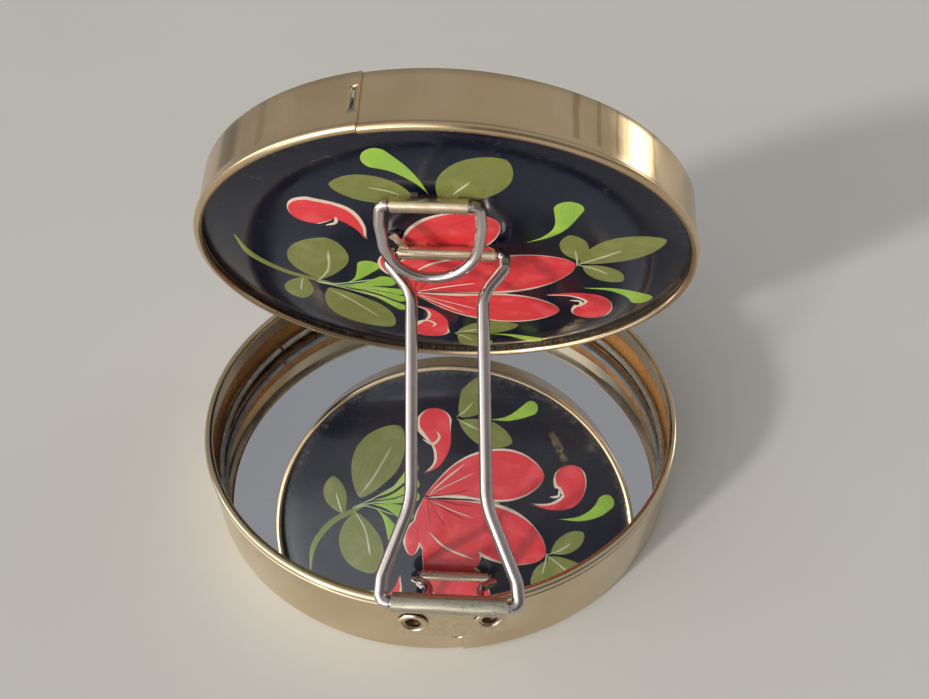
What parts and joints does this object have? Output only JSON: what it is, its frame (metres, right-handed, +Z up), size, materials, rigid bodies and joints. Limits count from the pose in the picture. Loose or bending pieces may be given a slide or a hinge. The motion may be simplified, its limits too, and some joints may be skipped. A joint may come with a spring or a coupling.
{
  "type": "folding double mirror",
  "caption": "Round double travel mirror: a flat base and a smaller lid with a painted lacquer panel, joined by a wire bail in rolled sleeves, with a D-ring hanger.",
  "frame": {"origin": "centre of the base's underside, on the table", "axes": "+Z up, X along the hinge axes, -Y towards the hinge (front); the base lies flat and the lid leans over it on the bail"},
  "size_m": [0.084, 0.087, 0.0783],
  "materials": {
    "gold_tone_sheet": "lacquered tinplate, worn to a dull gold",
    "brass": "rolled, slightly tarnished",
    "nickel_wire": "bright plated wire",
    "worn_steel": "scratched and tarnished",
    "mirror_glass": "silvered flat glass",
    "grey_card": "pressed board",
    "black_lacquer": "glossy black lacquer with red, green and gold floral painting"
  },
  "bodies": {
    "base": {"base_rim": "gold_tone_sheet", "base_back_plate": "gold_tone_sheet", "base_backing_card": "grey_card", "base_mirror": "mirror_glass", "base_retaining_ring": "worn_steel", "hinge_leaf": "worn_steel", "eyelet_left": "brass", "eyelet_right": "brass"},
    "bail": {"stand_bail": "nickel_wire"},
    "lid": {"lid_rim": "gold_tone_sheet", "painted_panel": "black_lacquer", "lid_backing_card": "grey_card", "lid_mirror": "mirror_glass", "lid_retaining_ring": "worn_steel", "bail_tube": "brass", "hanger_tube": "brass"},
    "hanger": {"d_ring": "nickel_wire"}
  },
  "joints": [
    {"name": "bail_hinge", "type": "hinge", "parent": "base", "child": "bail", "pos_m": [0.00455, -0.0436, 0.0162], "axis": [1, 0, 0], "range_deg": [0, 120]},
    {"name": "lid_hinge", "type": "hinge", "parent": "bail", "child": "lid", "pos_m": [0.0018, -0.00228, 0.04677], "axis": [1, 0, 0], "range_deg": [0, 14]},
    {"name": "hanger_hinge", "type": "hinge", "parent": "lid", "child": "hanger", "pos_m": [0.0001, -0.00872, 0.0592], "axis": [1, 0, 0], "range_deg": [-150, 8]}
  ]
}
